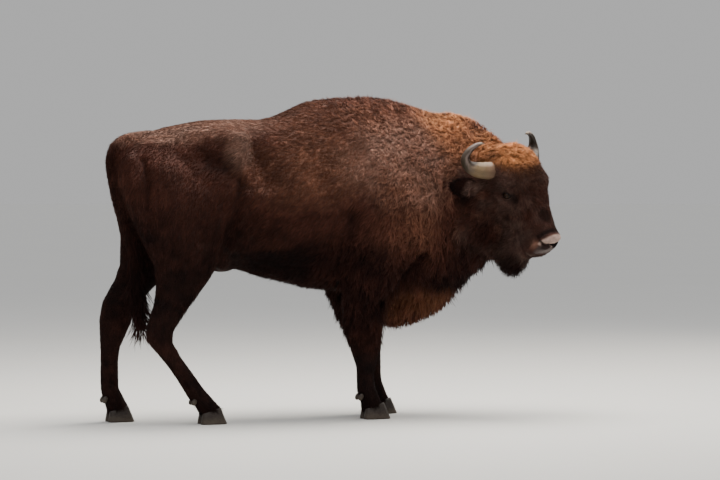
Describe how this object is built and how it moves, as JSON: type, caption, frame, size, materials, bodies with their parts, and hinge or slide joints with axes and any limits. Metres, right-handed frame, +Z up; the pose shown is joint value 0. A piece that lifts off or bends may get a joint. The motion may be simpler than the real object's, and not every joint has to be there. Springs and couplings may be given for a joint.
{
  "type": "european bison",
  "caption": "Standing European bison cow, life size, head turned to its right, shaggy forequarters, short curved horns, one hind leg stepping forward.",
  "frame": {"origin": "on the floor under the middle of the outline", "axes": "+Z up, +X towards the shoulders and chest, +Y towards the animal's left"},
  "size_m": [2.2698, 0.785, 1.6286],
  "materials": {
    "coat": "short to long brown hair",
    "nose_skin": "moist grey-pink skin",
    "horn": "pale grey horn, satin, worn",
    "hoof": "dull grey horn",
    "eye": "wet, almost black"
  },
  "bodies": {
    "root": {"barrel": "coat", "beard": "coat", "dewlap": "coat", "ear_left": "coat", "ear_right": "coat", "eye_left": "eye", "eye_right": "eye", "fore_left_dewclaw_a": "hoof", "fore_left_dewclaw_b": "hoof", "fore_left_foot": "coat", "fore_left_forearm": "coat", "fore_left_hoof_a": "hoof", "fore_left_hoof_b": "hoof", "fore_right_dewclaw_a": "hoof", "fore_right_dewclaw_b": "hoof", "fore_right_foot": "coat", "fore_right_forearm": "coat", "fore_right_hoof_a": "hoof", "fore_right_hoof_b": "hoof", "forequarters": "coat", "head": "coat", "hind_left_dewclaw_a": "hoof", "hind_left_dewclaw_b": "hoof", "hind_left_foot": "coat", "hind_left_hoof_a": "hoof", "hind_left_hoof_b": "hoof", "hind_left_shank": "coat", "hind_right_dewclaw_a": "hoof", "hind_right_dewclaw_b": "hoof", "hind_right_foot": "coat", "hind_right_hoof_a": "hoof", "hind_right_hoof_b": "hoof", "hind_right_shank": "coat", "hindquarters": "coat", "horn_left": "horn", "horn_right": "horn", "muzzle": "coat", "neck": "coat", "nose": "nose_skin", "tail": "coat", "tail_tuft": "coat", "udder": "coat"}
  },
  "joints": []
}
